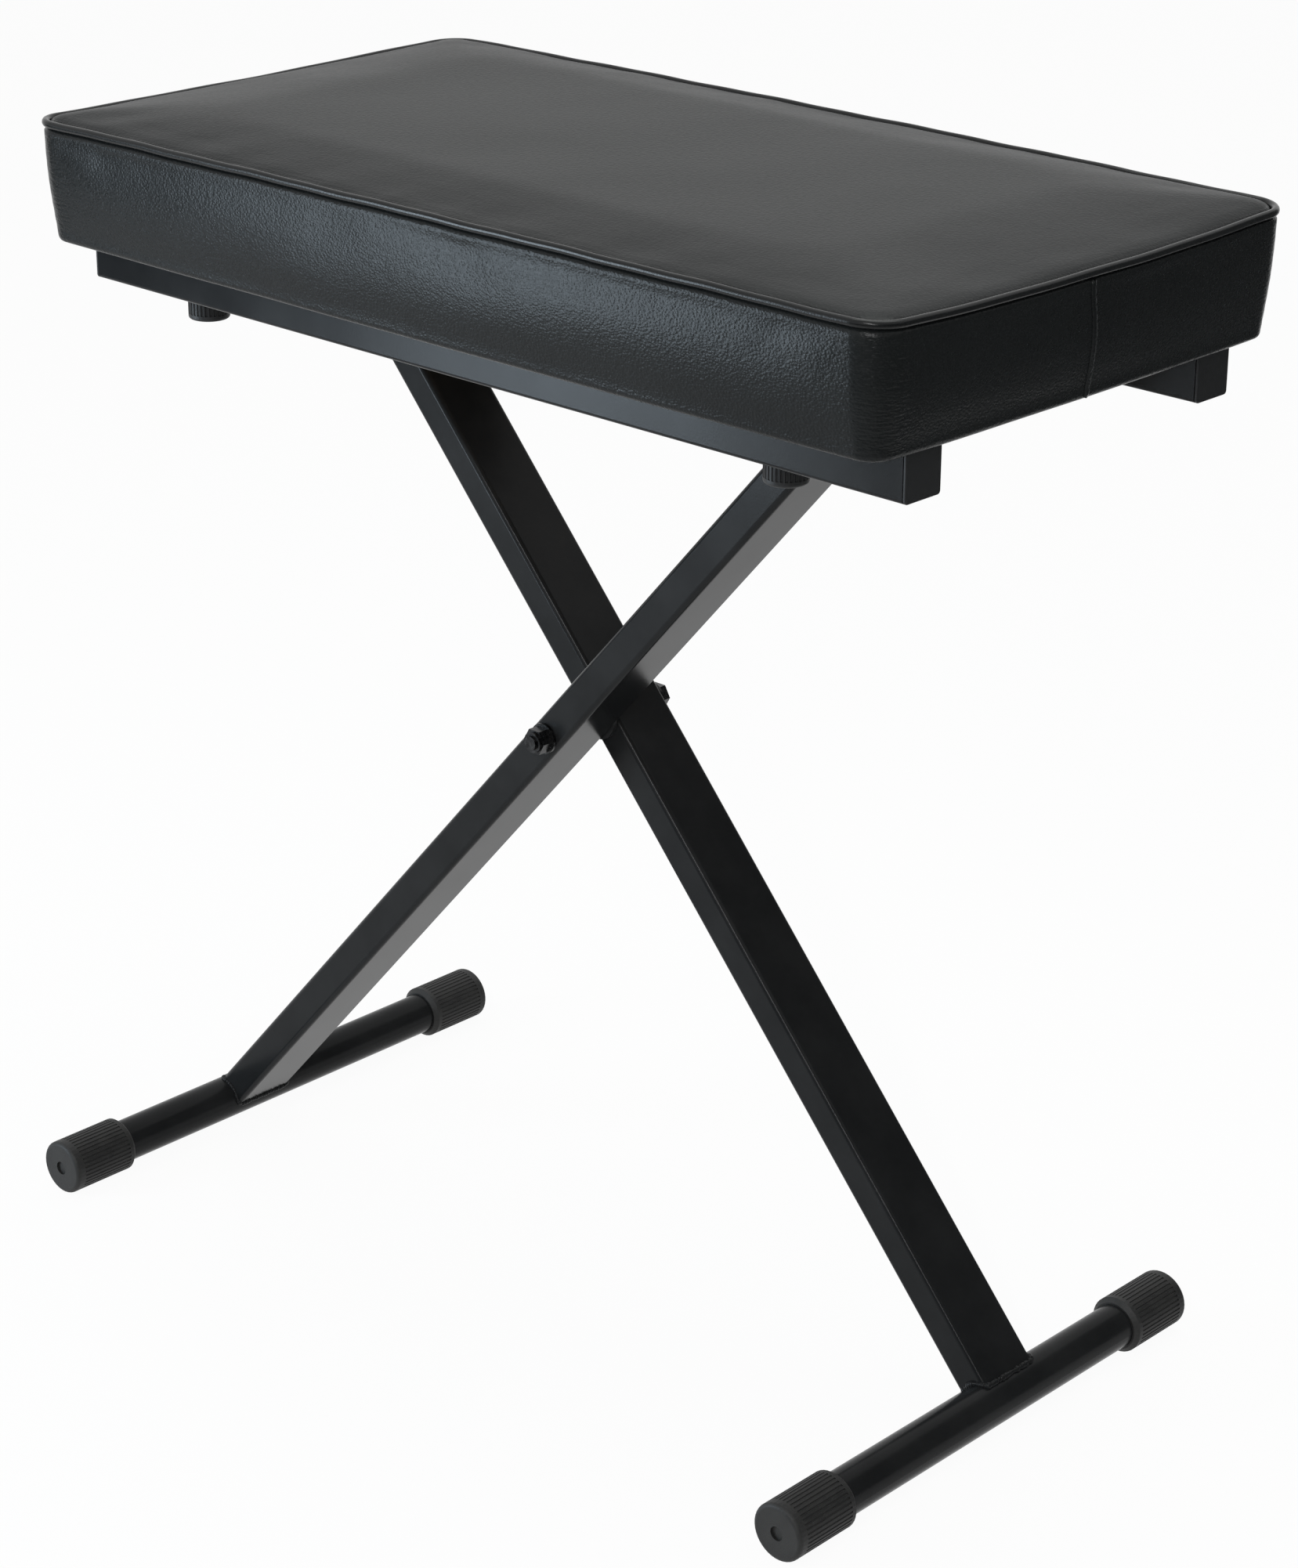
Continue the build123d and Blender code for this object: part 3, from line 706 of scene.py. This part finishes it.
thread_black, tree, shader = new_finish("thread_black", (0.03, 0.032, 0.033), roughness=0.5, specular=0.3)
twist = object_pattern(tree, "ShaderNodeTexWave", scale=900.0, detail=0.0, stretch=(1, 1, 0.6))
patchy_gloss(tree, shader, twist, low=0.4, high=0.6)
relief(tree, shader, twist.outputs["Fac"], strength=0.4, depth=0.0002)
stitch_line = [end_spot(stitch_in, height, stitch_lift) for height in lap_heights[stitch_rows]]
stitches = add_piece("boxing_stitches", path_mesh("boxing_stitches", [stitch_line], closed=False))
stitch_values = {"Step": stitch_step, "Size": stitch_size, "Finish": thread_black}
grow(stitches, row_tree("stitch_row", "GeometryNodeMeshIcoSphere"), stitch_values)
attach(stitches, "seat")

# Hem: the cover is folded under the board in four strips that stop short of the rails.
# The raw edges lie a little uneven and wire staples hold them to the plywood.
hem_drop, hem_bury, hem_rows, hem_columns = 0.0009, 0.0003, 64, 7
hem_side_in, hem_side_out = abs(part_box("front_rail")[0].y) + 0.003, board_high.y + 0.006
hem_end_in, hem_end_out = board_half - 0.016, board_half + 0.0015
hem_side_run, hem_end_run = 0.270, abs(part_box("front_rail")[1].y) - 0.004
hem_side_width, hem_end_width = hem_side_in - hem_side_out, hem_end_in - hem_end_out
ripple_depth, ripple_pitch, ripple_slice = 0.00035, 55, 3.0
ragged_depth, ragged_pitch, ragged_slice = 0.0012, 90, 9.0
staple_step, staple_size, staple_along = 0.045, (0.0009, 0.0011, 0.0100), 0.6
staple_drop, staple_rows = 0.0004, slice(3, -3)
hem_sheets, staple_lines = [], []
for hand in (-1, 1):
    for start, along, across in (
        ((-hem_side_run, hand * hem_side_out), (2 * hem_side_run, 0), (0, hand * hem_side_width)),
        ((hand * hem_end_out, -hem_end_run), (0, 2 * hem_end_run), (hand * hem_end_width, 0)),
    ):
        lower, upper, staple_line = [], [], []
        for t in np.linspace(0, 1, hem_rows):
            lower_row, upper_row = [], []
            for s in np.linspace(0, 1, hem_columns):
                hem_x = start[0] + along[0] * t + across[0] * s + seat_middle
                hem_y = start[1] + along[1] * t + across[1] * s
                ripple = ripple_depth * noise((hem_x * ripple_pitch, hem_y * ripple_pitch, ripple_slice))
                frayed = noise((hem_x * ragged_pitch, hem_y * ragged_pitch, ragged_slice))
                ragged = ragged_depth * s**3 * frayed
                edge_x = hem_x + ragged * np.sign(across[0])
                edge_y = hem_y + ragged * np.sign(across[1])
                lower_row.append((edge_x, edge_y, pad_bottom - hem_drop - ripple))
                upper_row.append((edge_x, edge_y, pad_bottom + hem_bury))
            lower.append(lower_row)
            upper.append(upper_row)
            staple_x = start[0] + along[0] * t + across[0] * staple_along + seat_middle
            staple_y = start[1] + along[1] * t + across[1] * staple_along
            staple_line.append((staple_x, staple_y, pad_bottom - hem_drop - staple_drop))
        hem_sheets.append((lower, upper))
        staple_lines.append(staple_line[staple_rows])
hem = add_piece("seat_hem", slab_mesh("seat_hem", hem_sheets))
hem.data.materials.append(leatherette)
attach(hem, "seat")
staples = add_piece("hem_staples", path_mesh("hem_staples", staple_lines, closed=False))
staple_values = {"Step": staple_step, "Size": staple_size, "Finish": black_oxide}
grow(staples, row_tree("staple_row", "GeometryNodeMeshCube"), staple_values)
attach(staples, "seat")

# Studio: a pale floor, a white backdrop all round, a low soft box at the front left and a soft light above.
# A thin strip to the upper left of the camera, as steep as the rear leg, draws the bright line down its edge.
# Black flags at the front and left and a grey one at the right, hidden from the camera, darken those sides.
floor_half, floor_glow = 9, 0.95
backdrop_fill, backdrop_seen = 0.35, 1.0
floor_mesh = bpy.data.meshes.new("floor")
floor_corners = [(a * floor_half, b * floor_half, 0) for a, b in ((-1, -1), (1, -1), (1, 1), (-1, 1))]
floor_mesh.from_pydata(floor_corners, [], [(0, 1, 2, 3)])
floor = add_piece("floor", floor_mesh)


def background_rays(tree):
    seen = tree.nodes.new("ShaderNodeLightPath")
    direct = tree.nodes.new("ShaderNodeMath")
    direct.operation = "MAXIMUM"
    either = tree.nodes.new("ShaderNodeMath")
    either.operation = "MAXIMUM"
    tree.links.new(seen.outputs["Is Camera Ray"], direct.inputs[0])
    tree.links.new(seen.outputs["Is Glossy Ray"], direct.inputs[1])
    tree.links.new(direct.outputs["Value"], either.inputs[0])
    tree.links.new(seen.outputs["Is Transmission Ray"], either.inputs[1])
    return either.outputs["Value"]


floor_paint, tree, shader = new_finish("floor_paint", (0.86, 0.86, 0.86), roughness=0.7)
glow = tree.nodes.new("ShaderNodeEmission")
mix = tree.nodes.new("ShaderNodeMixShader")
tree.links.new(spread(tree, background_rays(tree), low=0.0, high=floor_glow), mix.inputs["Fac"])
tree.links.new(shader.outputs["BSDF"], mix.inputs[1])
tree.links.new(glow.outputs["Emission"], mix.inputs[2])
tree.links.new(mix.outputs["Shader"], tree.nodes["Material Output"].inputs["Surface"])
floor.data.materials.append(floor_paint)

world = bpy.data.worlds.new("studio_white")
world.use_nodes = True
tree = world.node_tree
backdrop = tree.nodes["Background"]
backdrop.inputs["Color"].default_value = (1, 1, 1, 1)
backdrop_light = spread(tree, background_rays(tree), low=backdrop_fill, high=backdrop_seen)
tree.links.new(backdrop_light, backdrop.inputs["Strength"])
bpy.context.scene.world = world

flag_black = new_finish("flag_black", (0.03, 0.03, 0.03), roughness=0.9, specular=0.1)[0]
flag_grey = new_finish("flag_grey", (0.22, 0.22, 0.22), roughness=0.9, specular=0.1)[0]
for flag_name, flag_line, flag_height, flag_cloth in (
    ("flag_right", ((0.25, 1.08), (1.35, 0.15), (0.8, -1.3)), 1.1, flag_grey),
    ("flag_front", ((0.8, -1.3), (-0.64, -1.45)), 0.5, flag_black),
    ("flag_left", ((-1.42, -1.36), (-2.2, -0.6)), 0.5, flag_black),
):
    count = len(flag_line)
    flag_mesh = bpy.data.meshes.new(flag_name)
    flag_spots = [(*spot, height) for height in (0, flag_height) for spot in flag_line]
    flag_mesh.from_pydata(flag_spots, [], [(k, k + 1, count + k + 1, count + k) for k in range(count - 1)])
    flag = add_piece(flag_name, flag_mesh)
    flag.data.materials.append(flag_cloth)
    flag.visible_camera = False
    flag.visible_shadow = False


def soft_lamp(name, spot, aim, lie, size, power, colour):
    data = bpy.data.lights.new(name, "AREA")
    data.shape = "RECTANGLE"
    data.size, data.size_y = size
    data.energy = power
    data.color = colour
    lamp = bpy.data.objects.new(name, data)
    bpy.context.collection.objects.link(lamp)
    away = (Vector(spot) - Vector(aim)).normalized()
    across = (Vector(lie) - away * away.dot(Vector(lie))).normalized()
    turned = Matrix((across, away.cross(across), away)).transposed().to_4x4()
    lamp.matrix_world = Matrix.Translation(spot) @ turned


cool, plain, faint_green = (0.74, 0.88, 1.0), (1.0, 1.0, 1.0), (0.965, 1.0, 0.975)
soft_lamp(
    "front_box", spot=(-1.01, -1.29, 0.48), aim=(0, -0.1, 0.5), lie=(1, 0, 0),
    size=(0.35, 0.92), power=16, colour=cool,
)
soft_lamp(
    "edge_strip", spot=(1.05, -1.59, 1.39), aim=(0.05, 0, 0.3), lie=(0.69, 0, -0.72),
    size=(1.2, 0.07), power=18, colour=plain,
)
soft_lamp(
    "top_light", spot=(0.0, 0.3, 2.4), aim=(0, 0, 0.5), lie=(1, 0, 0),
    size=(1.8, 1.4), power=22, colour=faint_green,
)

# Camera: stands at the front right and above the seat, where the photograph was taken from.
# Its place and lens come from matching the rails, legs and feet to their edges in the picture.
photo_width, photo_height, sensor_mm = 1657, 2002, 36.0
lens_px, axis_x, axis_y = 4797.0, 846.84, 1004.42
azimuth, elevation, roll = math.radians(43.0), math.radians(22.45), math.radians(0.4)
aim_x, aim_y, aim_height, stand_off = 0.02029, 0.01566, 0.29537, 2.04081
level = math.cos(elevation)
back = Vector((math.sin(azimuth) * level, -math.cos(azimuth) * level, math.sin(elevation)))
level_right = Vector((math.cos(azimuth), math.sin(azimuth), 0))
level_up = back.cross(level_right)
right = level_right * math.cos(roll) + level_up * math.sin(roll)
up = back.cross(right)
stand = Vector((aim_x, aim_y, aim_height)) + back * stand_off
camera_data = bpy.data.cameras.new("camera")
camera = bpy.data.objects.new("camera", camera_data)
bpy.context.collection.objects.link(camera)
camera_data.sensor_width = sensor_mm
camera_data.lens = sensor_mm * lens_px / photo_height
camera_data.shift_x = (photo_width / 2 - axis_x) / photo_height
camera_data.shift_y = (axis_y - photo_height / 2) / photo_height
camera.matrix_world = Matrix.Translation(stand) @ Matrix((right, up, back)).transposed().to_4x4()
bpy.context.scene.camera = camera
bpy.context.scene.view_settings.view_transform = "Standard"
